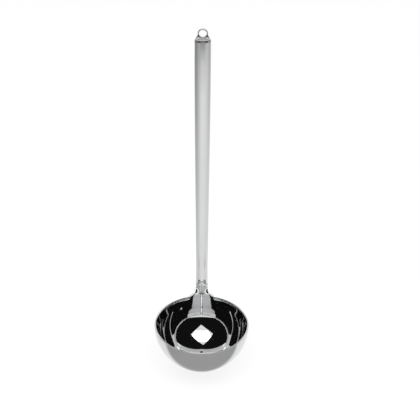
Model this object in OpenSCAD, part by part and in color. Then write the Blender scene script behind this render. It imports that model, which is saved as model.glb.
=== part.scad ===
// Soup ladle in polished stainless steel, with a hollow handle and a hanging eye.
// The rim of the bowl lies level, the handle leans back from it, and the origin is the
// middle of the hanging eye's bore. All sizes are in millimetres.

/* [Bowl] */
// Outside diameter of the bowl at its rim
bowl_d = 90; // [80:1:110]
// Thickness of the bowl's wall
bowl_wall = 1.2; // [0.8:0.1:1.8]
// Thickness of the rounded bead that stiffens the rim
rim_t = 2; // [1.9:0.1:3]

/* [Neck] */
// Width of the neck where the handle starts
neck_w = 10.6; // [9:0.1:13]
// Thickness of the neck, front to back
neck_t = 6.4; // [5:0.1:8]
// Radius of the flares between the neck and the rim
flare_r = 9; // [6:0.5:11]
// How far the neck stands outside the bowl's wall
neck_offset = 1.3; // [0.5:0.1:2.5]
// How far the tongue of the neck reaches down the back of the bowl
tongue_h = 28; // [20:1:34]
// Width of the tongue
tongue_w = 17; // [12:1:24]
// Thickness of the tongue near its tip
tongue_t = 1.6; // [1:0.1:3]
// Leg of the fillet weld around the tongue
tongue_weld = 0.9; // [0.5:0.1:1.5]
// Length of the spigot that goes up inside the handle
spigot_l = 24; // [15:1:40]
// Clearance between the neck and the bowl that it is seated on
seat_gap = 0.1; // [0.08:0.01:0.2]

/* [Handle] */
// Angle at which the handle leans back
lean = 12; // [4:1:18]
// Length of the handle from the rim to the middle of the hanging eye
handle_l = 277.5; // [220:0.5:320]
// Width of the handle at its top
handle_w = 16; // [14:0.1:20]
// Thickness of the handle at its top, front to back
handle_t = 9; // [8.2:0.1:12]
// Thickness of the pressed half shells
shell_wall = 0.9; // [0.6:0.1:1.4]
// Squareness of the handle's cross-section, where 2 is an ellipse
section_power = 2.6; // [2:0.1:4]
// Height above the rim at which the half shells end in a point
point_s = 12.8; // [11:0.1:18]
// Height of that point over its two sides
point_h = 3.4; // [1.5:0.1:5]
// Length at the top over which the handle keeps its full width
parallel_l = 30; // [15:1:60]
// Width of the weld seams along both sides of the handle
seam_w = 0.6; // [0.4:0.1:1]
// Height of the welds at the two ends of the half shells
end_weld = 0.8; // [0.5:0.1:1.5]
// Clearance between the half shells and what plugs into them
plug_gap = 0.1; // [0.05:0.05:0.3]

/* [Hanging eye] */
// Diameter of the eye's bore
eye_bore_d = 7.5; // [6:0.1:8.5]
// Width of the metal round the bore
eye_ring = 1.25; // [1:0.05:2]
// Thickness of the flat eye
eye_t = 2.5; // [2:0.1:4]
// Length of the sloping shoulders below the eye
shoulder_l = 5.4; // [4:0.1:8]
// Distance from the top of the shoulders to the middle of the eye
shoulder_drop = 1.9; // [1:0.1:3]
// Height of flat metal between the bore and the sloping shoulders
eye_face = 0.3; // [0.2:0.05:0.6]
// Length of solid metal between the shoulders and the half shells
end_solid_l = 6; // [3:0.5:12]
// Length of the plug that goes down inside the handle
plug_l = 14; // [8:1:25]

/* [Hidden] */

bowl_r = bowl_d / 2;
bowl_zc = -rim_t / 2;
eye_r = eye_bore_d / 2 + eye_ring;

// Places along the handle, measured from the rim
shoulder_top_s = handle_l - shoulder_drop;
shoulder_s = shoulder_top_s - shoulder_l;
face_s = handle_l - eye_bore_d / 2 - eye_face;
shell_top_s = shoulder_s - end_solid_l - end_weld;
taper_end_s = handle_l - parallel_l;
shell_bottom_s = point_s + end_weld;

// The handle's middle line leaves the level of the rim here
handle_y = bowl_r + neck_offset;

// The middle of the eye, which is the origin
eye_y = handle_y + handle_l * sin(lean);
eye_z = handle_l * cos(lean);

// Facets of the round parts, points round a section and sections along a piece
round_fn = 180;
around = 36;
handle_steps = 12;
neck_steps = 7;
tongue_steps = 9;
shoulder_steps = 6;

// A superellipse of half width and half thickness 1, at the angle t
function signed_pow(v, p) = sign(v) * pow(abs(v), p);
function oval(t) = [signed_pow(cos(t), 2 / section_power), signed_pow(sin(t), 2 / section_power)];

// The angles of a full section, anticlockwise seen from above, the back half first
turns = [for (i = [0 : around - 1]) 360 * (i + 0.5) / around];

// How far along its taper the handle is, from 0 at the neck to 1
function taper_u(s) = min(1, max(0, (s - point_s) / (taper_end_s - point_s)));
function fuller(u) = u + 0.5 * u * u * (1 - u);
function handle_a(s) = neck_w / 2 + (handle_w - neck_w) / 2 * fuller(taper_u(s));
function handle_b(s) = neck_t / 2 + (handle_t - neck_t) / 2 * taper_u(s);

// A point on the handle's outline, drawn in by inset, at the place s and the angle t
function outline(s, t, inset = 0) =
    [(handle_a(s) - inset) * oval(t).x, (handle_b(s) - inset) * oval(t).y, s];

// The same point let down to the pointed line, whose tip is at the place s
function pointed(s, t, inset = 0) =
    let (p = outline(s, t, inset))
        [p.x, p.y, s - point_h * abs(p.x) / (neck_w / 2)];

// A point of the handle's frame in the bowl's frame, whose origin is the middle of the rim
function leaned(p) =
    [p.x, handle_y + p.y * cos(lean) + p.z * sin(lean), p.z * cos(lean) - p.y * sin(lean)];

// Faces between rings of n points, where each ring lies above the one before
function sides(n, rings, first = 0) =
    [for (k = [0 : rings - 2]) for (i = [0 : n - 1])
        let (a = first + k * n + i, b = first + k * n + (i + 1) % n)
            each [[a, a + n, b], [b, a + n, b + n]]];

// A cap across a ring, in strips that join each point to the one opposite
function cap(n) =
    [for (i = [0 : n / 2 - 2]) each [[i, i + 1, n - 2 - i], [i, n - 2 - i, n - 1 - i]]];
function moved(faces, by) = [for (f = faces) [for (i = f) i + by]];
function flipped(faces) = [for (f = faces) [for (i = [len(f) - 1 : -1 : 0]) f[i]]];

// A closed solid through a list of rings
module skin(rings) {
    n = len(rings[0]);
    top = (len(rings) - 1) * n;
    polyhedron(points = [for (ring = rings) each ring],
               faces = concat(sides(n, len(rings)), cap(n), flipped(moved(cap(n), top))));
}

// A ring of metal between an outer and an inner pair of rings, bottom and top
module collar(outer, inner) {
    n = len(outer[0]);
    rim = [for (i = [0 : n - 1]) let (j = (i + 1) % n)
        each [[i, j, 2 * n + i], [j, 2 * n + j, 2 * n + i]]];
    polyhedron(points = concat(outer[0], outer[1], inner[0], inner[1]),
               faces = concat(sides(n, 2), flipped(sides(n, 2, 2 * n)), rim, flipped(moved(rim, n))));
}

// Places spread evenly from one end to the other
function spread(from, to, steps) = [for (k = [0 : steps]) from + (to - from) * k / steps];

// Moves the bowl's frame so that the eye is the origin
module from_eye() {
    translate([0, -eye_y, -eye_z]) children();
}

// The handle's own frame: Z runs up the handle, -Y faces the front
module on_handle() {
    translate([0, handle_y, 0]) rotate([-lean, 0, 0]) children();
}

// Deep-drawn half-round cup with a thicker rounded rim
module bowl() {
    color("gainsboro") from_eye()
        rotate_extrude($fn = round_fn) {
            difference() {
                intersection() {
                    translate([0, bowl_zc]) circle(bowl_r, $fn = round_fn);
                    translate([0, bowl_zc - bowl_r]) square([bowl_r, bowl_r]);
                }
                translate([0, bowl_zc]) circle(bowl_r - bowl_wall, $fn = round_fn);
            }
            translate([bowl_r - rim_t / 2, bowl_zc]) circle(rim_t / 2, $fn = 48);
        }
}

// Half width of the neck at a height over the rim, with the flares
function neck_a(z) = z >= flare_r ? neck_w / 2
    : neck_w / 2 + flare_r - sqrt(flare_r * flare_r - (flare_r - z) * (flare_r - z));

// Half thickness of the neck, measured level, and how far its back stands off the bowl
neck_b = neck_t / 2 / cos(lean);
saddle_t = neck_offset + neck_b - seat_gap;

// How far the rim has curved away from the neck at the distance x from the middle
function rim_bend(x) = bowl_r - sqrt(bowl_r * bowl_r - x * x);

// A level section of the neck above the rim, which bends with the rim where it is wide
function neck_ring(z) =
    let (k = max(0, 1 - z / flare_r), off = neck_offset + rim_t / 2)
    [for (t = turns)
        let (o = oval(t), x = neck_a(z) * o.x)
            [x, handle_y + z * tan(lean) + neck_b * o.y - k * (rim_bend(x) + off * (1 - abs(o.y))), z]];

// A level section whose front lies on the bowl at the radius r and whose back stands off by out
function seated_ring(z, a, r, out) =
    [for (t = turns)
        let (o = oval(t), x = a * o.x, r_out = bowl_r + seat_gap)
            [x, o.y < 0 ? sqrt(r * r - x * x) : sqrt(max(r, z < bowl_zc ? r : r_out) ^ 2 - x * x) + out * o.y, z]];

// Sections over the rim's rounded bead
function saddle_ring(angle) =
    let (r = rim_t / 2 + seat_gap)
        seated_ring(bowl_zc + r * sin(angle), neck_a(0), bowl_r - rim_t / 2 + r * cos(angle), saddle_t);

// Sections of the tongue, from 0 under the rim to 1 at its tip
function tongue_a(f) =
    (tongue_w / 2 + (neck_a(0) - tongue_w / 2) * pow(1 - f, 6)) * sqrt(1 - 0.96 * pow(f, 4));
function tongue_ring(f) =
    let (drop = tongue_h * f)
        seated_ring(bowl_zc - drop, tongue_a(f), sqrt(pow(bowl_r + seat_gap, 2) - drop * drop),
                    tongue_t + (saddle_t - tongue_t) * pow(1 - f, 2));

// Forged neck: a tongue down the bowl's back, a saddle over the rim, and a spigot
module neck() {
    flare_top = min(flare_r, leaned(pointed(point_s, 0)).z - neck_b * sin(lean) - 0.5);
    inset = shell_wall + plug_gap;
    color("silver") from_eye() skin(concat(
        [for (k = [tongue_steps : -1 : 0]) tongue_ring(k / tongue_steps)],
        [for (angle = [30, 60]) saddle_ring(angle)],
        [for (f = spread(0, 1, neck_steps)) neck_ring(seat_gap + (flare_top - seat_gap) * pow(f, 1.4))],
        [[for (t = turns) leaned(pointed(point_s, t))]],
        [[for (t = turns) leaned(pointed(point_s, t, inset))]],
        [for (s = [shell_bottom_s, point_s + spigot_l]) [for (t = turns) leaned(outline(s, t, inset))]]
    ));
}

// One of the two fillets of weld metal beside the tongue, below the rim
module tongue_bead() {
    skin([for (k = [tongue_steps : -1 : 1])
        let (ring = tongue_ring(k / tongue_steps),
             back = ring[0],
             front = ring[around - 1],
             r = norm([front.x, front.y]),
             mid = front.x + tongue_weld / 2,
             out = front.x + tongue_weld)
        [[out, sqrt(r * r - out * out), front.z], back, front, [mid, sqrt(r * r - mid * mid), front.z]]]);
}

module neck_bowl_weld() {
    color("lightgray") from_eye() {
        tongue_bead();
        mirror([1, 0, 0]) tongue_bead();
    }
}

// Bead of weld metal that closes the joint between the neck and the half shells
module neck_handle_weld() {
    color("lightgray") from_eye() on_handle()
        collar([for (s = [point_s, shell_bottom_s]) [for (t = turns) pointed(s, t)]],
               [for (s = [point_s, shell_bottom_s]) [for (t = turns) pointed(s, t, shell_wall)]]);
}

// A length of the handle's wall between two angles, from the pointed line to the end fitting
module wall_strip(from, to, steps) {
    angles = spread(from, to, steps);
    places = spread(shell_bottom_s + point_h, shell_top_s, handle_steps);
    inner = [for (i = [steps : -1 : 0]) angles[i]];
    skin(concat(
        [concat([for (t = angles) pointed(shell_bottom_s, t)],
                [for (t = inner) pointed(shell_bottom_s, t, shell_wall)])],
        [for (s = places) concat([for (t = angles) outline(s, t)],
                                 [for (t = inner) outline(s, t, shell_wall)])]
    ));
}

// The angle at which the seams meet the half shells
seam_angle = asin(pow(seam_w / neck_t, section_power / 2));

// Pressed front half of the hollow handle
module handle_front_shell() {
    color("gainsboro") from_eye() on_handle()
        wall_strip(180 + seam_angle, 360 - seam_angle, around / 2);
}

// Pressed back half of the hollow handle
module handle_back_shell() {
    color("gainsboro") from_eye() on_handle()
        wall_strip(seam_angle, 180 - seam_angle, around / 2);
}

// The two seams, welded and ground flush
module handle_seam_weld() {
    color("lightgray") from_eye() on_handle() {
        wall_strip(-seam_angle, seam_angle, 3);
        wall_strip(180 - seam_angle, 180 + seam_angle, 3);
    }
}

// Bead of weld metal that closes the joint between the half shells and the end fitting
module eye_weld() {
    ends = [shell_top_s, shell_top_s + end_weld];
    color("lightgray") from_eye() on_handle()
        collar([for (s = ends) [for (t = turns) outline(s, t)]],
               [for (s = ends) [for (t = turns) outline(s, t, shell_wall)]]);
}

// One section of the shoulders: they narrow evenly, and round over to the eye's thickness
function shoulder_ring(s) =
    let (f = (s - shoulder_s) / shoulder_l,
         g = min(1, (s - shoulder_s) / (face_s - shoulder_s)),
         a = handle_a(s) + (eye_r - handle_a(s)) * f,
         b = eye_t / 2 + (handle_b(s) - eye_t / 2) * sqrt(1 - g * g))
    [for (t = turns) [a * oval(t).x, b * oval(t).y, s]];

// Solid end fitting: a plug, the sloping shoulders and the flat round eye
module hanging_eye() {
    inset = shell_wall + plug_gap;
    plug_top_s = shell_top_s + end_weld;
    color("silver") from_eye() on_handle()
        difference() {
            union() {
                skin(concat(
                    [for (s = [shell_top_s - plug_l, plug_top_s]) [for (t = turns) outline(s, t, inset)]],
                    [[for (t = turns) outline(plug_top_s, t)]],
                    [for (s = spread(shoulder_s, face_s, shoulder_steps)) shoulder_ring(s)],
                    [shoulder_ring(shoulder_top_s)]
                ));
                translate([-eye_r, -eye_t / 2, face_s])
                    cube([2 * eye_r, eye_t, handle_l - face_s]);
                translate([0, 0, handle_l]) rotate([90, 0, 0])
                    cylinder(r = eye_r, h = eye_t, center = true, $fn = round_fn);
            }
            translate([0, 0, handle_l]) rotate([90, 0, 0])
                cylinder(d = eye_bore_d, h = 2 * handle_t, center = true, $fn = round_fn);
        }
}

bowl();
neck();
neck_bowl_weld();
neck_handle_weld();
handle_front_shell();
handle_back_shell();
handle_seam_weld();
eye_weld();
hanging_eye();
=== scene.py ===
import math

import bmesh
import bpy
from mathutils import Matrix, Vector


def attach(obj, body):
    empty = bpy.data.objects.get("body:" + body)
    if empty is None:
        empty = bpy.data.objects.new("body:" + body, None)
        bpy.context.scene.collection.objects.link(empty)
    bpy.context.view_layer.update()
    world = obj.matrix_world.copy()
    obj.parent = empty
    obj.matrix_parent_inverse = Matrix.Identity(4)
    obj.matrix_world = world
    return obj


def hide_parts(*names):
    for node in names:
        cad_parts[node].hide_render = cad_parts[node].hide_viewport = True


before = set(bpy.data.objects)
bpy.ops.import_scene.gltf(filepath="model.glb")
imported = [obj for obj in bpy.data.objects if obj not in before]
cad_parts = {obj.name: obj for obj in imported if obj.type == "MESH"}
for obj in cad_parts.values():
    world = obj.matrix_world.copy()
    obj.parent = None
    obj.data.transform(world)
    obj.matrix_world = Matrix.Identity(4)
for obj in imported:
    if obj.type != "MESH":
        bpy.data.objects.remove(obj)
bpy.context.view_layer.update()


# Bowl: a half-round cup deep-drawn from 18/10 stainless sheet, 90 mm across, turned on a wheel
# and polished to a mirror. Its rim is thicker and fully rounded. At the back the rim's bead runs
# out, and the wall leaves its round and goes straight up into the front face of the neck.

MM = 0.001
EYE_AT = (0, 103.995, 271.436)   # mm, middle of the hanging eye, from the middle of the rim
HANDLE_FOOT_Y = 48.3             # mm, where the handle's middle line leaves the level of the rim
LEAN = math.atan2(EYE_AT[1] - HANDLE_FOOT_Y, EYE_AT[2])
HANDLE_LENGTH = math.hypot(EYE_AT[1] - HANDLE_FOOT_Y, EYE_AT[2])
BOWL_R = 45.0                    # mm, outside radius
BOWL_WALL = 1.9                  # mm
RIM_THICKNESS = 2.0              # mm
RIM_Z = -RIM_THICKNESS / 2       # mm, the middle of the rim's rounding lies below its top
BEAD_R, BEAD_DEPTH = 43.3, 1.8   # mm, inside radius of the rim, and height of its rounding
CONE_FROM, CONE_SLOPE = -10.3, 0.2217    # mm below the rim, where the wall runs out straight
# The wall in front, from low to high: mm from the rim, inside radius in mm, and slope
FRONT_WALL = ((-16, 40.41, 0.371), (-11, 42.2, 0.364), (-9, 42.68, 0.16), (-1, 43.95, 0.158))
BEAD_ENDS = (8.5, 13.5)          # mm from the middle of the neck, where the inner bead runs out
FLARE_REACH = 12.0               # mm, half width of the neck where it meets the rim
FACE_Y = 45.03                   # mm, the neck's front face at the level of the rim
FACE_LEAN = math.radians(15.3)   # of the neck's front face and of the wall that runs into it
STRAIGHT_FROM = -12.5            # mm, where the wall under the neck leaves its round
STRAIGHT_FADE, STRAIGHT_EDGE = 3.0, 4.5  # mm, over which the straight wall runs out, down and aside
CREASE = math.radians(35)        # a sharper turn than this shows as an edge


def from_rim(x, y, z):
    """A point given in mm from the middle of the rim, in metres from the hanging eye."""
    return Vector((x - EYE_AT[0], y - EYE_AT[1], z - EYE_AT[2])) * MM


def smooth(u):
    """Rises from 0 to 1 with level ends."""
    u = min(1.0, max(0.0, u))
    return u * u * (3 - 2 * u)


def piece_from(name, points, faces, replaced, slot, material):
    """A closed mesh as a piece of the ladle, which stands for a node of the frame."""
    mesh = bpy.data.meshes.new(name)
    mesh.from_pydata(points, [], faces)
    build = bmesh.new()
    build.from_mesh(mesh)
    bmesh.ops.remove_doubles(build, verts=build.verts, dist=1e-7)
    bmesh.ops.recalc_face_normals(build, faces=build.faces)
    build.to_mesh(mesh)
    build.free()
    mesh.polygons.foreach_set("use_smooth", [True] * len(mesh.polygons))
    mesh.set_sharp_from_angle(angle=CREASE)
    mesh.materials.append(material)
    piece = bpy.data.objects.new(name, mesh)
    bpy.context.scene.collection.objects.link(piece)
    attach(piece, "root")
    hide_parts(replaced)
    return piece


def inner_radius(z, x, behind):
    """Inside radius of the bowl at a height. In front the wall stands steeper under the rim."""
    drop = RIM_Z - min(z, CONE_FROM)
    cone = math.sqrt(max(0.0, (BOWL_R - BOWL_WALL) ** 2 - drop * drop))
    cone += CONE_SLOPE * max(0.0, z - CONE_FROM)
    bead = smooth((abs(x) - BEAD_ENDS[0]) / (BEAD_ENDS[1] - BEAD_ENDS[0]))
    cone -= (cone - BEAD_R) * bead * smooth(1 - (RIM_Z - z) / BEAD_DEPTH)
    if behind >= 1 or z < FRONT_WALL[0][0]:
        return cone
    for (z0, r0, slope0), (z1, r1, slope1) in zip(FRONT_WALL, FRONT_WALL[1:]):
        if z <= z1:
            span, u = z1 - z0, (z - z0) / (z1 - z0)
            wall = ((2 * u ** 3 - 3 * u ** 2 + 1) * r0 + (u ** 3 - 2 * u ** 2 + u) * slope0 * span
                    + (3 * u ** 2 - 2 * u ** 3) * r1 + (u ** 3 - u ** 2) * slope1 * span)
            return wall + (cone - wall) * behind
    return FRONT_WALL[-1][1] + (cone - FRONT_WALL[-1][1]) * behind


def straightened(x, z):
    """How far the wall lies outside its round at a point under the neck."""
    near = 7.4 + 0.014 * z * z
    line = max(0.0, FACE_Y + z * math.tan(FACE_LEAN) - inner_radius(min(z, RIM_Z), 0, 1))
    if z < STRAIGHT_FROM:
        line *= smooth(1 - (STRAIGHT_FROM - z) / STRAIGHT_FADE)
    return line * (1 - smooth((abs(x) - near) / STRAIGHT_EDGE))


def bowl_profile(x, behind):
    """Radius and height from the bottom inside, over the rim, to the bottom outside."""
    line = []
    for k in range(1, 100):
        theta = math.pi / 2 * k / 100
        z = RIM_Z - (BOWL_R - BOWL_WALL) * math.cos(theta)
        line.append((inner_radius(z, x, behind), z))
    line += [(inner_radius(RIM_Z - drop, x, behind), RIM_Z - drop) for drop in (0.5, 0.35, 0.2, 0.1)]
    lip_in = inner_radius(RIM_Z, x, behind)
    middle, half = (lip_in + BOWL_R) / 2, (BOWL_R - lip_in) / 2
    for k in range(17):
        turn = math.pi * (1 - k / 16)
        line.append((middle + half * math.cos(turn), RIM_Z + RIM_THICKNESS / 2 * math.sin(turn)))
    for k in range(99, 0, -1):
        theta = math.pi / 2 * k / 100
        line.append((BOWL_R * math.sin(theta), RIM_Z - BOWL_R * math.cos(theta)))
    return line


def bowl_mesh(turns=300):
    points, faces = [], []
    for j in range(turns):
        phi = 2 * math.pi * j / turns
        behind = math.sin(phi) > 0
        side = BOWL_R * math.cos(phi) if behind else BOWL_R
        line = bowl_profile(side, smooth((math.sin(phi) + 0.85) / 0.35))
        for r, z in line:
            x, y = r * math.cos(phi), r * math.sin(phi)
            points.append(from_rim(x, y + (straightened(x, z) if behind else 0.0), z))
    rows = len(line)
    for j in range(turns):
        a, b = j * rows, (j + 1) % turns * rows
        faces += [(a + k, a + k + 1, b + k + 1, b + k) for k in range(rows - 1)]
    inside, outside = len(points), len(points) + 1
    points += [from_rim(0, 0, RIM_Z - BOWL_R + BOWL_WALL), from_rim(0, 0, RIM_Z - BOWL_R)]
    for j in range(turns):
        a, b = j * rows, (j + 1) % turns * rows
        faces += [(inside, a, b), (outside, b + rows - 1, a + rows - 1)]
    return points, faces


def linear(hex_colour):
    """An sRGB hex colour as linear RGBA."""
    parts = [int(hex_colour[i:i + 2], 16) / 255 for i in (1, 3, 5)]
    return [c / 12.92 if c <= 0.04045 else ((c + 0.055) / 1.055) ** 2.4 for c in parts] + [1.0]


def add(tree, kind, inputs=None, **settings):
    """Adds a node with its settings. An input is a value, or another node's output to link."""
    made = tree.nodes.new(kind)
    for name, value in settings.items():
        setattr(made, name, value)
    for key, value in (inputs or {}).items():
        if isinstance(value, bpy.types.NodeSocket):
            tree.links.new(value, made.inputs[key])
        else:
            made.inputs[key].default_value = value
    return made


def new_material(name):
    material = bpy.data.materials.new(name)
    material.use_nodes = True
    material.node_tree.nodes.clear()
    return material, material.node_tree


def polished(material, tree, marks, colour, tint, smear_mm, haze):
    """Mirror-polished steel: fine marks of the wheel, wide soft smears, hardly any colour."""
    place = add(tree, "ShaderNodeTexCoord").outputs["Object"]
    smears = add(tree, "ShaderNodeTexNoise",
                 {"Vector": place, "Scale": 1 / (smear_mm * MM), "Detail": 3.0})
    tone = add(tree, "ShaderNodeMix", {"Factor": smears.outputs["Fac"], "A": linear(colour),
                                       "B": linear(tint)}, data_type="RGBA")
    rough = add(tree, "ShaderNodeMapRange", {"Value": marks, "From Min": 0.35, "From Max": 0.75,
                                             "To Min": haze[0], "To Max": haze[1]})
    relief = add(tree, "ShaderNodeBump", {"Height": marks, "Strength": 0.02, "Distance": 0.02 * MM})
    steel = add(tree, "ShaderNodeBsdfPrincipled",
                {"Metallic": 1.0, "Base Color": tone.outputs["Result"],
                 "Roughness": rough.outputs["Result"], "Normal": relief.outputs["Normal"]})
    add(tree, "ShaderNodeOutputMaterial", {"Surface": steel.outputs["BSDF"]})


# Drawn and mirror-polished 18/10 stainless steel: the polishing wheel leaves fine level rings,
# which give the reflections a faint grain. The rings are drawn 0.4 mm wide, coarser than real.
bowl_steel, tree = new_material("mirror polished drawn stainless steel")
place = add(tree, "ShaderNodeTexCoord").outputs["Object"]
offset = add(tree, "ShaderNodeVectorMath", {0: place, 1: from_rim(0, 0, 0)}, operation="SUBTRACT")
parts = add(tree, "ShaderNodeSeparateXYZ", {"Vector": offset.outputs["Vector"]})
flat = add(tree, "ShaderNodeCombineXYZ", {"X": parts.outputs["X"], "Y": parts.outputs["Y"]})
radius = add(tree, "ShaderNodeVectorMath", {0: flat.outputs["Vector"]}, operation="LENGTH")
ring = add(tree, "ShaderNodeCombineXYZ", {"X": radius.outputs["Value"], "Z": parts.outputs["Z"]})
wheel = add(tree, "ShaderNodeTexNoise",
            {"Vector": ring.outputs["Vector"], "Scale": 1 / (0.4 * MM), "Detail": 2.0})
polished(bowl_steel, tree, wheel.outputs["Fac"], "#D6D7D8", "#DCDCDC", 14, (0.02, 0.05))

piece_from("drawn_bowl", *bowl_mesh(), "bowl", "bowl_steel", bowl_steel)


# Neck: a solid forged piece of the same steel. Its foot flares over the rim in two concave curves,
# a tongue runs down the back of the bowl, and a spigot goes up inside the handle. Its joint with
# the handle runs up to a point in front and behind.

NECK_W, NECK_T = 10.6, 6.4       # mm, the handle's size where it starts
FOOT_WIDER = 0.4                 # mm, how much wider on each side the neck is than the handle
SWAY = 1.7                       # mm, how far the handle bends back over its first 24 mm
SWAY_ROUNDING = 0.12             # mm, of the bend where the sway reaches its full depth
SWAY_FROM, SWAY_OVER = 28, 200   # mm up the handle, where it starts to go straight, and over how much
FLARE_HEIGHT, FOOT_HEIGHT = 5.5, 9.0     # mm, of the flares, and of the foot's change of shape
TONGUE_HEIGHT, TONGUE_W = 28.0, 17.0     # mm, down the back of the bowl
TONGUE_THICKNESS, SADDLE_THICKNESS = 1.6, 4.47   # mm, at the tongue's tip and under the rim
TONGUE_SUNK = 0.6                # mm, how deep the tongue's hidden face lies in the bowl's wall
POINT_AT, POINT_HEIGHT = 12.8, 3.4   # mm, tip of the pointed line, and how far its sides drop
SPIGOT_LENGTH = 24.0             # mm, inside the handle
SHELL_WALL, PLUG_GAP = 0.9, 0.1  # mm, of the handle's sheet, and around what is plugged into it
INSET = -(SHELL_WALL + PLUG_GAP)
HANDLE_W, HANDLE_T = 16.0, 9.0   # mm, at the top of the handle
TAPER_END = 247.5                # mm up the handle, where it reaches its full size
FOOT_POWER, SECTION_POWER = 2.0, 2.6     # 2 is an ellipse, more is squarer
SKIN = 0.02                      # mm, how far the neck's foot lies over the wall that it runs into


def oval(t, power=SECTION_POWER):
    """A superellipse of half width and half thickness 1, at the angle t."""
    c, s = math.cos(t), math.sin(t)
    return math.copysign(abs(c) ** (2 / power), c), math.copysign(abs(s) ** (2 / power), s)


def full_turn(count):
    return [2 * math.pi * (i + 0.5) / count for i in range(count)]


def sway(s):
    """How far the handle stands behind its straight middle line: it leans more at its foot."""
    rise = (math.tan(FACE_LEAN) - math.tan(LEAN)) * max(0.0, s)
    bend = -SWAY_ROUNDING * math.log(math.exp(-rise / SWAY_ROUNDING) + math.exp(-SWAY / SWAY_ROUNDING))
    return bend * (1 - smooth((s - SWAY_FROM) / SWAY_OVER))


def outline(s, t, grow=0.0):
    """A point of the handle's surface at s mm up its middle line, in the handle's own frame."""
    u = min(1.0, max(0.0, (s - POINT_AT) / (TAPER_END - POINT_AT)))
    half_w = NECK_W / 2 + (HANDLE_W - NECK_W) / 2 * (u + 0.5 * u * u * (1 - u)) + grow
    half_w += FOOT_WIDER * (1 - smooth((s - 6) / 20))
    half_t = NECK_T / 2 + (HANDLE_T - NECK_T) / 2 * u + grow
    x, y = oval(t, FOOT_POWER + (SECTION_POWER - FOOT_POWER) * smooth(s / 60))
    return half_w * x, half_t * y + sway(s), s


def pointed(s, t, grow=0.0):
    """The same point, let down to a pointed line that has its tip at s."""
    x, y, _ = outline(s, t, grow)
    return x, y, s - POINT_HEIGHT * abs(x) / (NECK_W / 2 + grow)


def leaned(p):
    """A point of the handle's own frame, in mm from the middle of the rim."""
    x, y, s = p
    return (x, HANDLE_FOOT_Y + y * math.cos(LEAN) + s * math.sin(LEAN),
            s * math.cos(LEAN) - y * math.sin(LEAN))


def skin(rings):
    """Faces of a closed solid through rings of as many points each, capped in strips."""
    n, top = len(rings[0]), (len(rings) - 1) * len(rings[0])
    points = [from_rim(*p) for ring in rings for p in ring]
    faces = [(k * n + i, k * n + (i + 1) % n, (k + 1) * n + (i + 1) % n, (k + 1) * n + i)
             for k in range(len(rings) - 1) for i in range(n)]
    for i in range(n // 2 - 1):
        faces.append((n - 1 - i, n - 2 - i, i + 1, i))
        faces.append((top + i, top + i + 1, top + n - 2 - i, top + n - 1 - i))
    return points, faces


def rim_bend(x):
    """How far the rim has curved forward at a distance from the middle of the neck."""
    return BOWL_R - math.sqrt(BOWL_R ** 2 - x * x)


def tongue_ring(f, turns):
    """A level section of the tongue, from 0 under the rim to 1 at its tip."""
    z = RIM_Z - TONGUE_HEIGHT * f
    half = TONGUE_W / 2 + (FLARE_REACH - TONGUE_W / 2) * (1 - f) ** 6
    half *= math.sqrt(1 - 0.96 * f ** 4)
    out = TONGUE_THICKNESS + (SADDLE_THICKNESS - TONGUE_THICKNESS) * (1 - f) ** 2
    over = math.sqrt(BOWL_R ** 2 - (RIM_Z - z) ** 2)
    hidden = over - TONGUE_SUNK
    ring = []
    for t in turns:
        ox, oy = oval(t, SECTION_POWER + (FOOT_POWER - 0.3 - SECTION_POWER) * (1 - f) ** 4)
        x = half * ox
        y = math.sqrt(over ** 2 - x * x) + out * oy if oy > 0 else math.sqrt(hidden ** 2 - x * x)
        ring.append((x, y, z))
    return ring


def foot_ring(z, turns):
    """A level section from just below the rim up to where the flares end."""
    f = min(1.0, max(0.0, z) / FLARE_HEIGHT)
    top_half = NECK_W / 2 + FOOT_WIDER
    half = top_half + (FLARE_REACH - top_half) * (1 - math.sqrt(max(0.0, 1 - (1 - f) ** 2)))
    low = 1 - smooth(max(0.0, z) / FOOT_HEIGHT)
    middle = HANDLE_FOOT_Y + max(0.0, z) * math.tan(LEAN) + sway(z)
    thick = NECK_T / 2 / math.cos(LEAN)
    rounding = HANDLE_FOOT_Y - BOWL_R + RIM_THICKNESS / 2
    ring = []
    for t in turns:
        ox, oy = oval(t, FOOT_POWER - 0.3 * low)
        x = half * ox
        bend = rim_bend(x)
        if oy > 0:
            y = middle + thick * oy - low * (bend + rounding * (1 - oy))
        else:
            tip = middle - bend - rounding
            wall = math.sqrt(inner_radius(min(z, RIM_Z), x, 1) ** 2 - x * x)
            wall += straightened(x, z) - SKIN
            face = tip - (tip - wall) * (1 - (1 - abs(oy)) ** 3.5)
            y = (1 - low) * (middle + thick * oy) + low * face
        ring.append((x, y, z))
    return ring


turns = full_turn(144)
rings = [tongue_ring(k / 30, turns) for k in range(30, 2, -1)]
rings += [foot_ring(z, turns) for z in (-1.5, -1.0, -0.5)]
rings += [foot_ring(FOOT_HEIGHT * (k / 30) ** 2, turns) for k in range(31)]
level, edge = rings[-1], [leaned(pointed(POINT_AT, t)) for t in turns]
rings += [[tuple(a + (b - a) * k / 8 for a, b in zip(p, q)) for p, q in zip(level, edge)]
          for k in range(1, 9)]
rings += [[leaned(pointed(POINT_AT, t, INSET)) for t in turns]]
rings += [[leaned(outline(s, t, INSET)) for t in turns]
          for s in (POINT_AT + 0.8, POINT_AT + SPIGOT_LENGTH)]

# Forged and mirror-polished stainless steel: it is worked by hand with small buffs, so its marks
# cross each other and the reflections are a little softer than in the bowl.
neck_steel, tree = new_material("mirror polished forged stainless steel")
place = add(tree, "ShaderNodeTexCoord").outputs["Object"]
buffing = add(tree, "ShaderNodeTexNoise", {"Vector": place, "Scale": 1 / (0.6 * MM), "Detail": 4.0})
polished(neck_steel, tree, buffing.outputs["Fac"], "#D2D3D4", "#DADADA", 9, (0.03, 0.07))

piece_from("forged_neck", *skin(rings), "neck", "neck_steel", neck_steel)


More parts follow.
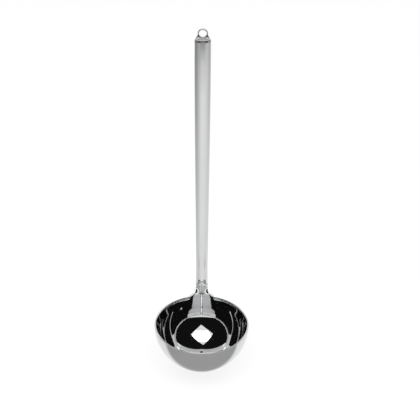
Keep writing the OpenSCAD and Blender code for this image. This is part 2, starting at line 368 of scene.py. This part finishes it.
# Weld between the tongue and the bowl: a concave bead along each side of the tongue, brushed
# and buffed until it runs smoothly from the one into the other.

FILLET = 0.9                     # mm, leg of the bead


def joined(*meshes):
    """Several meshes, each its points and faces, as one."""
    points, faces = [], []
    for more_points, more_faces in meshes:
        faces += [tuple(i + len(points) for i in face) for face in more_faces]
        points += more_points
    return points, faces


def tongue_bead(side):
    """The bead on the right of the tongue, or on its left where side is -1."""
    rings = []
    for k in range(30, 3, -1):
        section = tongue_ring(k / 30, full_turn(144))
        front, crest = section[-1], section[6]
        foot_x = front[0] + FILLET
        reach = math.sqrt(BOWL_R ** 2 - (RIM_Z - front[2]) ** 2)
        foot = (foot_x, math.sqrt(reach ** 2 - foot_x ** 2) - 0.05)
        ring = []
        for i in range(9):
            u = i / 8
            x = foot[0] + (crest[0] - foot[0]) * (1 - (1 - u) ** 2)
            y = foot[1] + (crest[1] - foot[1]) * u ** 2
            ring.append((side * x, y, front[2]))
        ring.append((side * (crest[0] - 0.4), math.sqrt(reach ** 2 - front[0] ** 2) - 0.4, front[2]))
        rings.append(ring)
    return skin(rings)


# Ground weld metal: the same steel, buffed by hand, a little duller than the pieces it joins.
weld_steel, tree = new_material("buffed weld metal")
place = add(tree, "ShaderNodeTexCoord").outputs["Object"]
grinding = add(tree, "ShaderNodeTexNoise", {"Vector": place, "Scale": 1 / (0.35 * MM), "Detail": 4.0})
polished(weld_steel, tree, grinding.outputs["Fac"], "#CFD0D1", "#D8D8D8", 6, (0.05, 0.12))

piece_from("tongue_beads", *joined(tongue_bead(1), tongue_bead(-1)), "neck_bowl_weld", "weld_steel",
           weld_steel)


# Joint between the neck and the handle: a bead of weld metal that follows the pointed line. It is
# ground down until it lies as a fine groove between the two.

JOINT_W = 0.95                   # mm, height of the bead
GROOVE_AT, GROOVE_DEPTH = 0.5, 0.6       # mm, of the deepest line, above its start and inward


def collar(loops):
    """A ring of metal through rings of points, round and back to the start."""
    count, n = len(loops), len(loops[0])
    points = [from_rim(*p) for loop in loops for p in loop]
    faces = [(k * n + i, k * n + (i + 1) % n, (k + 1) % count * n + (i + 1) % n, (k + 1) % count * n + i)
             for k in range(count) for i in range(n)]
    return points, faces


steps = ((0, 0), (GROOVE_AT, -GROOVE_DEPTH), (JOINT_W, 0), (JOINT_W, -SHELL_WALL), (0, -SHELL_WALL))
loops = [[leaned(pointed(POINT_AT + up, t, grow)) for t in turns] for up, grow in steps]
piece_from("neck_bead", *collar(loops), "neck_handle_weld", "weld_steel", weld_steel)


# Handle: two half shells, pressed from 0.9 mm stainless sheet and welded into a hollow tube that
# widens from 10.6 to 16 mm. Its front and back are gently domed, and polished lengthwise.

SEAM_W, END_WELD = 0.6, 0.8      # mm, of the side seams and of the bead at the top
SHOULDER_DROP, SHOULDER_LENGTH = 1.9, 5.4        # mm, below the bore's middle, and along the handle
END_SOLID = 6.0                  # mm of the end fitting that shows between its bead and shoulders
SHOULDER_TOP = HANDLE_LENGTH - SHOULDER_DROP
SHOULDER_AT = SHOULDER_TOP - SHOULDER_LENGTH
SHELL_TOP = SHOULDER_AT - END_SOLID - END_WELD
SEAM_TURN = math.asin((SEAM_W / NECK_T) ** (SECTION_POWER / 2))


def wall_strip(start, end, steps):
    """A length of the handle's wall between two angles, from the pointed line to its top."""
    angles = [start + (end - start) * i / steps for i in range(steps + 1)]
    bottom = POINT_AT + JOINT_W
    rings = [[leaned(pointed(bottom, t)) for t in angles]
             + [leaned(pointed(bottom, t, -SHELL_WALL)) for t in reversed(angles)]]
    first = bottom + POINT_HEIGHT
    for k in range(61):
        s = first + (SHELL_TOP - first) * k / 60
        rings.append([leaned(outline(s, t)) for t in angles]
                     + [leaned(outline(s, t, -SHELL_WALL)) for t in reversed(angles)])
    return skin(rings)


# Pressed and mirror-polished stainless sheet: the polishing belt runs along the handle and leaves
# long fine lines, which draw the reflections out a little. They are drawn 0.3 mm apart.
handle_steel, tree = new_material("mirror polished pressed stainless steel")
place = add(tree, "ShaderNodeTexCoord").outputs["Object"]
along = add(tree, "ShaderNodeMapping", {"Vector": place, "Rotation": (LEAN, 0, 0)})
stretched = add(tree, "ShaderNodeVectorMath", {0: along.outputs["Vector"], 1: (1, 1, 0.012)},
                operation="MULTIPLY")
belt = add(tree, "ShaderNodeTexNoise",
           {"Vector": stretched.outputs["Vector"], "Scale": 1 / (0.3 * MM), "Detail": 2.0})
polished(handle_steel, tree, belt.outputs["Fac"], "#D4D5D6", "#DBDBDB", 22, (0.03, 0.07))

piece_from("front_shell", *wall_strip(math.pi + SEAM_TURN, 2 * math.pi - SEAM_TURN, 96),
           "handle_front_shell", "handle_steel", handle_steel)
piece_from("back_shell", *wall_strip(SEAM_TURN, math.pi - SEAM_TURN, 96),
           "handle_back_shell", "handle_steel", handle_steel)


# Seams of the handle: a narrow bead of the same weld metal along each side, where the two half
# shells meet. Both are ground flush and buffed, so that hardly a line is left.

right_seam = wall_strip(-SEAM_TURN, SEAM_TURN, 5)
left_seam = wall_strip(math.pi - SEAM_TURN, math.pi + SEAM_TURN, 5)
piece_from("side_seams", *joined(right_seam, left_seam), "handle_seam_weld", "weld_steel", weld_steel)


# Joint between the handle and its end fitting: a bead of weld metal right round the tube, ground
# flush with both.

loops = [[leaned(outline(s, t, grow)) for t in turns] for s, grow in
         ((SHELL_TOP, 0), (SHELL_TOP + END_WELD, 0), (SHELL_TOP + END_WELD, -SHELL_WALL),
          (SHELL_TOP, -SHELL_WALL))]
piece_from("top_bead", *collar(loops), "eye_weld", "weld_steel", weld_steel)


# Hanging eye: a solid end fitting. A plug goes down inside the handle, bevelled shoulders close
# the tube, and a flat round eye of 7.5 mm bore stands on them. It is forged and buffed as the neck
# is, and the edges of the eye are rounded.

BORE_R, EYE_RING, EYE_THICKNESS = 3.75, 1.25, 2.5        # mm
EYE_R = BORE_R + EYE_RING
EYE_FACE = 0.3                   # mm of flat metal under the bore
FACE_AT = HANDLE_LENGTH - BORE_R - EYE_FACE
PLUG_LENGTH = 14.0               # mm, inside the handle
EDGE = 0.6                       # mm, rounding of the eye's edges
BEVELS = (1.95, 3.6)             # mm, height of the bevel in front of and behind the eye
BEVEL_ROUNDING = 0.2             # mm, where the bevels leave the full thickness of the handle
SUNK = 1.0                       # mm, how deep the eye's foot is set into the shoulders


def shoulder_ring(s, turns):
    """A section of the shoulders: they narrow evenly and round over to the eye's thickness."""
    f = (s - SHOULDER_AT) / SHOULDER_LENGTH
    half_w = HANDLE_W / 2 + (EYE_R - HANDLE_W / 2) * f
    ring = []
    for t in turns:
        x, y = oval(t)
        bevel = EYE_THICKNESS / 2 + (FACE_AT - s) / BEVELS[y > 0] * (HANDLE_T - EYE_THICKNESS) / 2
        over = math.exp((bevel - HANDLE_T / 2) / BEVEL_ROUNDING)
        half_t = bevel - BEVEL_ROUNDING * math.log1p(over)
        ring.append(leaned((half_w * x, half_t * y, s)))
    return ring


def eye_reach(angle):
    """Distance from the middle of the bore to the eye's outline, all round."""
    x, s = math.cos(angle), math.sin(angle)
    if s >= 0:
        return EYE_R
    limits = [EYE_R / abs(x)] if abs(x) > 1e-6 else []
    slope = (HANDLE_W / 2 - EYE_R) / SHOULDER_LENGTH
    bevel = (EYE_R - slope * SHOULDER_DROP) / (abs(x) + slope * s) if abs(x) + slope * s > 1e-6 else 1e9
    limits = [max(limits[0], bevel)] if limits and -s * limits[0] > SHOULDER_DROP else limits
    foot = (HANDLE_LENGTH - FACE_AT + SUNK) / -s
    return min(limits + [foot])


def eye_mesh():
    """The flat eye: a rounded bar swept round the bore, out to the eye's outline."""
    rings, count = [], 128
    for j in range(count):
        angle = 2 * math.pi * j / count
        reach = eye_reach(angle)
        bar = []
        for cx, cy, start in ((reach - EDGE, EYE_THICKNESS / 2 - EDGE, 0),
                              (BORE_R + EDGE, EYE_THICKNESS / 2 - EDGE, 90),
                              (BORE_R + EDGE, -EYE_THICKNESS / 2 + EDGE, 180),
                              (reach - EDGE, -EYE_THICKNESS / 2 + EDGE, 270)):
            for k in range(5):
                turn = math.radians(start + 22.5 * k)
                bar.append((cx + EDGE * math.cos(turn), cy + EDGE * math.sin(turn)))
        rings.append([leaned((r * math.cos(angle), y, HANDLE_LENGTH + r * math.sin(angle)))
                      for r, y in bar])
    return collar(rings)


plug_top = SHELL_TOP + END_WELD
rings = [[leaned(outline(s, t, INSET)) for t in turns] for s in (SHELL_TOP - PLUG_LENGTH, plug_top)]
rings += [[leaned(outline(plug_top + (SHOULDER_AT - plug_top) * k / 4, t)) for t in turns]
          for k in range(4)]
rings += [shoulder_ring(SHOULDER_AT + (FACE_AT - SHOULDER_AT) * k / 24, turns) for k in range(25)]
piece_from("end_fitting", *joined(skin(rings), eye_mesh()), "hanging_eye", "eye_steel", neck_steel)


# Studio: a plain pale floor under the bowl, in a white room. A black card lies level just above the
# end of the handle. A square hole in it, above the bowl and in front of it, lets the softbox shine
# through. A grey sheet hangs behind. The card and the sheet are seen only in the steel, as painted
# reflections.

RIM = from_rim(0, 0, 0)
FLOOR_HALF = 6000                # mm, half of the floor's side
FLOOR_LOW = RIM_Z - BOWL_R       # mm, the floor touches the bottom of the bowl


def sheet(name, corners, faces, material, only_in_steel=True):
    """A flat thing of the studio, from corners given in mm from the middle of the rim."""
    mesh = bpy.data.meshes.new(name)
    mesh.from_pydata([RIM + Vector(c) * MM for c in corners], [], faces)
    made = bpy.data.objects.new(name, mesh)
    bpy.context.scene.collection.objects.link(made)
    made.data.materials.append(material)
    if only_in_steel:
        made.visible_camera = made.visible_diffuse = made.visible_shadow = False
        made.visible_transmission = made.visible_volume_scatter = False


def ramp(tree, value, stops):
    """Grey levels along a value from 0 to 1."""
    made = add(tree, "ShaderNodeValToRGB", {"Fac": value})
    for _ in stops[2:]:
        made.color_ramp.elements.new(0.5)
    for element, (at, level) in zip(made.color_ramp.elements, stops):
        element.position = at
        element.color = (level, level, level, 1)
    return made.outputs["Color"]


# Floor paint. Seen directly it is white and takes the shadow. In the steel it shows painted light and
# shade instead,
# never above white: a painted shadow band by the bowl, then a painted pool of light that fades out 1.1 m
# in front.
floor_paint, tree = new_material("pale matt floor paint")
light_path = add(tree, "ShaderNodeLightPath")
place = add(tree, "ShaderNodeTexCoord").outputs["Object"]
parts = add(tree, "ShaderNodeSeparateXYZ", {"Vector": place})
ahead = add(tree, "ShaderNodeMapRange", {"Value": parts.outputs["Y"], "From Min": RIM.y + 0.10,
                                         "From Max": RIM.y - 1.40})
# Painted light: a white pool in front of the ladle that fades out far in front, seen only in the steel.
depth = ramp(tree, ahead.outputs["Result"],
             ((0.0, 1.0), (0.14, 1.0), (0.21, 0.97), (0.30, 1.0), (0.60, 1.0), (0.65, 0.90),
              (0.70, 0.83), (0.74, 0.77), (0.765, 0.58), (0.785, 0.38), (0.80, 0.20), (0.82, 0.06)))
# Painted shadow: a grey band on the floor just in front of the bowl, seen only in the steel.
grey = ramp(tree, ahead.outputs["Result"],
            ((0.0, 1.0), (0.078, 1.0), (0.085, 0.42), (0.15, 0.46), (0.21, 1.0)))
aside = add(tree, "ShaderNodeMath", {0: parts.outputs["X"]}, operation="ABSOLUTE")
clear = add(tree, "ShaderNodeMapRange", {"Value": aside.outputs["Value"], "From Min": 0.10,
                                         "From Max": 0.15})
painted_shade_band = add(tree, "ShaderNodeMix", {"Factor": 1.0, "A": grey, "B": clear.outputs["Result"]},
           data_type="RGBA", blend_type="LIGHTEN")
beside = add(tree, "ShaderNodeMapRange", {"Value": parts.outputs["X"], "From Min": RIM.x - 1.0,
                                          "From Max": RIM.x + 1.0})
# Painted shade: the pool of painted light grows darker toward the sides.
width = ramp(tree, beside.outputs["Result"],
             ((0.0, 0.14), (0.14, 0.30), (0.30, 0.60), (0.40, 0.78), (0.48, 1.0), (0.53, 1.0),
              (0.66, 0.88), (0.84, 0.60), (1.0, 0.45)))
wide = add(tree, "ShaderNodeMix", {"Factor": 1.0, "A": depth, "B": width},
           data_type="RGBA", blend_type="MULTIPLY")
painted_light_and_shade = add(tree, "ShaderNodeMix", {"Factor": 1.0, "A": wide.outputs["Result"],
                                   "B": painted_shade_band.outputs["Result"]}, data_type="RGBA", blend_type="MULTIPLY")
# The painted light and shade glow for glossy rays only.
seen = add(tree, "ShaderNodeEmission", {"Color": painted_light_and_shade.outputs["Result"], "Strength": 1.0})
matt = add(tree, "ShaderNodeBsdfDiffuse", {"Color": linear("#FAFAFA")})
white = add(tree, "ShaderNodeEmission", {"Color": (1, 1, 1, 1), "Strength": 1.1})
shown = add(tree, "ShaderNodeMixShader", {0: 0.72, 1: matt.outputs["BSDF"],
                                          2: white.outputs["Emission"]})
direct = add(tree, "ShaderNodeMixShader", {0: light_path.outputs["Is Camera Ray"],
                                           1: matt.outputs["BSDF"], 2: shown.outputs["Shader"]})
both = add(tree, "ShaderNodeMixShader", {0: light_path.outputs["Is Glossy Ray"],
                                         1: direct.outputs["Shader"], 2: seen.outputs["Emission"]})
add(tree, "ShaderNodeOutputMaterial", {"Surface": both.outputs["Shader"]})
floor_corners = [(x * FLOOR_HALF, y * FLOOR_HALF, FLOOR_LOW)
                 for x, y in ((-1, -1), (1, -1), (1, 1), (-1, 1))]
sheet("floor", floor_corners, [(0, 1, 2, 3)], floor_paint, only_in_steel=False)

# Black felt on the card, seen only in the steel and casting no shadow: a painted dark reflection that
# gives the steel its deep blacks.
painted_black_reflection, tree = new_material("black felt")
felt = add(tree, "ShaderNodeEmission", {"Color": linear("#141414"), "Strength": 1.0})
add(tree, "ShaderNodeOutputMaterial", {"Surface": felt.outputs["Emission"]})
CARD_Z = 300                     # mm over the rim
# The card's outline, with a notch behind the handle, and the corners of its hole
outer = [(-1050, -1000), (1050, -1000), (1050, 420), (470, 175), (0, 87), (-470, 175), (-1050, 420)]
hole = [(10, -402), (177, -137), (-22, 19), (-196, -150)]
sheet("black_card", [(x, y, CARD_Z) for x, y in outer + hole],
      [(0, 1, 8, 7), (1, 2, 8), (2, 3, 8), (3, 4, 9, 8), (4, 5, 10, 9), (5, 6, 10), (6, 0, 10),
       (0, 7, 10)], painted_black_reflection)

# Grey paper that glows though it is no lamp, seen only in the steel as a painted reflection, with painted
# shade darker toward its top edge: the handle mirrors it and takes this painted shade from end to end.
painted_reflection_sheet, tree = new_material("grey paper")
place = add(tree, "ShaderNodeTexCoord").outputs["Object"]
parts = add(tree, "ShaderNodeSeparateXYZ", {"Vector": place})
height = add(tree, "ShaderNodeMapRange", {"Value": parts.outputs["Z"], "From Min": RIM.z + 0.9,
                                          "From Max": RIM.z + 1.3})
# Painted shade: the sheet's glow grows darker toward its top edge.
shade = ramp(tree, height.outputs["Result"], ((0.0, 0.86), (0.45, 0.82), (0.75, 0.60), (1.0, 0.52)))
paper = add(tree, "ShaderNodeEmission", {"Color": shade, "Strength": 1.0})
add(tree, "ShaderNodeOutputMaterial", {"Surface": paper.outputs["Emission"]})
sheet("grey_sheet", [(-1100, 1600, 900), (1100, 1600, 900), (1500, 250, 1300), (-1500, 250, 1300)],
      [(0, 1, 2, 3)], painted_reflection_sheet)

# The softbox hangs over the bowl toward the camera's side. It faces the floor in front of the ladle
# and not the bowl, which sees it at a slant.
SOFTBOX_TILT = math.radians(27)  # from straight above the bowl
SOFTBOX_AWAY = 1.0               # m from the rim
SOFTBOX_GLOW = 1.9               # where 1 is white
lamp = bpy.data.lights.new("softbox", "AREA")
lamp.shape = "SQUARE"
lamp.size = 0.8
lamp.energy = SOFTBOX_GLOW * math.pi * lamp.size ** 2
softbox = bpy.data.objects.new("softbox", lamp)
bpy.context.scene.collection.objects.link(softbox)
aim = Vector((0, -math.sin(SOFTBOX_TILT), math.cos(SOFTBOX_TILT)))
softbox.location = RIM + SOFTBOX_AWAY * aim
softbox.rotation_euler = (-SOFTBOX_TILT, 0, 0)
softbox.visible_camera = False

# White room: what the camera and the steel see of it is plain white.
world = bpy.data.worlds.new("white room")
bpy.context.scene.world = world
world.use_nodes = True
tree = world.node_tree
tree.nodes.clear()
light_path = add(tree, "ShaderNodeLightPath")
in_steel = add(tree, "ShaderNodeMix", {"Factor": light_path.outputs["Is Glossy Ray"], "A": 0.72, "B": 1.0})
shown = add(tree, "ShaderNodeMix", {"Factor": light_path.outputs["Is Camera Ray"],
                                    "A": in_steel.outputs["Result"], "B": 1.0})
room = add(tree, "ShaderNodeBackground", {"Color": (1, 1, 1, 1), "Strength": shown.outputs["Result"]})
add(tree, "ShaderNodeOutputWorld", {"Surface": room.outputs["Background"]})
bpy.context.scene.view_settings.view_transform = "Standard"


# Camera: level with nothing in the picture, it looks down on the ladle from 38 degrees, from so
# far away that nothing narrows with distance. It is rolled by a quarter of a degree.

ELEVATION = math.radians(38)
ROLL = math.radians(0.25)
PIXELS, PIXELS_PER_MM = 420, 1.047
RIM_SEEN_AT = (201.6, 324.3)     # px, where the middle of the rim shows in the picture
right = Vector((1, 0, 0))
up = Vector((0, math.sin(ELEVATION), math.cos(ELEVATION)))
back_axis = Vector((0, -math.cos(ELEVATION), math.sin(ELEVATION)))
right, up = right * math.cos(ROLL) + up * math.sin(ROLL), up * math.cos(ROLL) - right * math.sin(ROLL)
lens = bpy.data.cameras.new("camera")
lens.type = "ORTHO"
lens.ortho_scale = PIXELS / PIXELS_PER_MM * MM
camera = bpy.data.objects.new("camera", lens)
bpy.context.scene.collection.objects.link(camera)
to_middle = (right * (PIXELS / 2 - RIM_SEEN_AT[0]) + up * (RIM_SEEN_AT[1] - PIXELS / 2)) / PIXELS_PER_MM
camera.location = RIM + to_middle * MM + back_axis * 1.5
camera.rotation_mode = "QUATERNION"
camera.rotation_quaternion = Matrix((right, up, back_axis)).transposed().to_quaternion()
bpy.context.scene.camera = camera
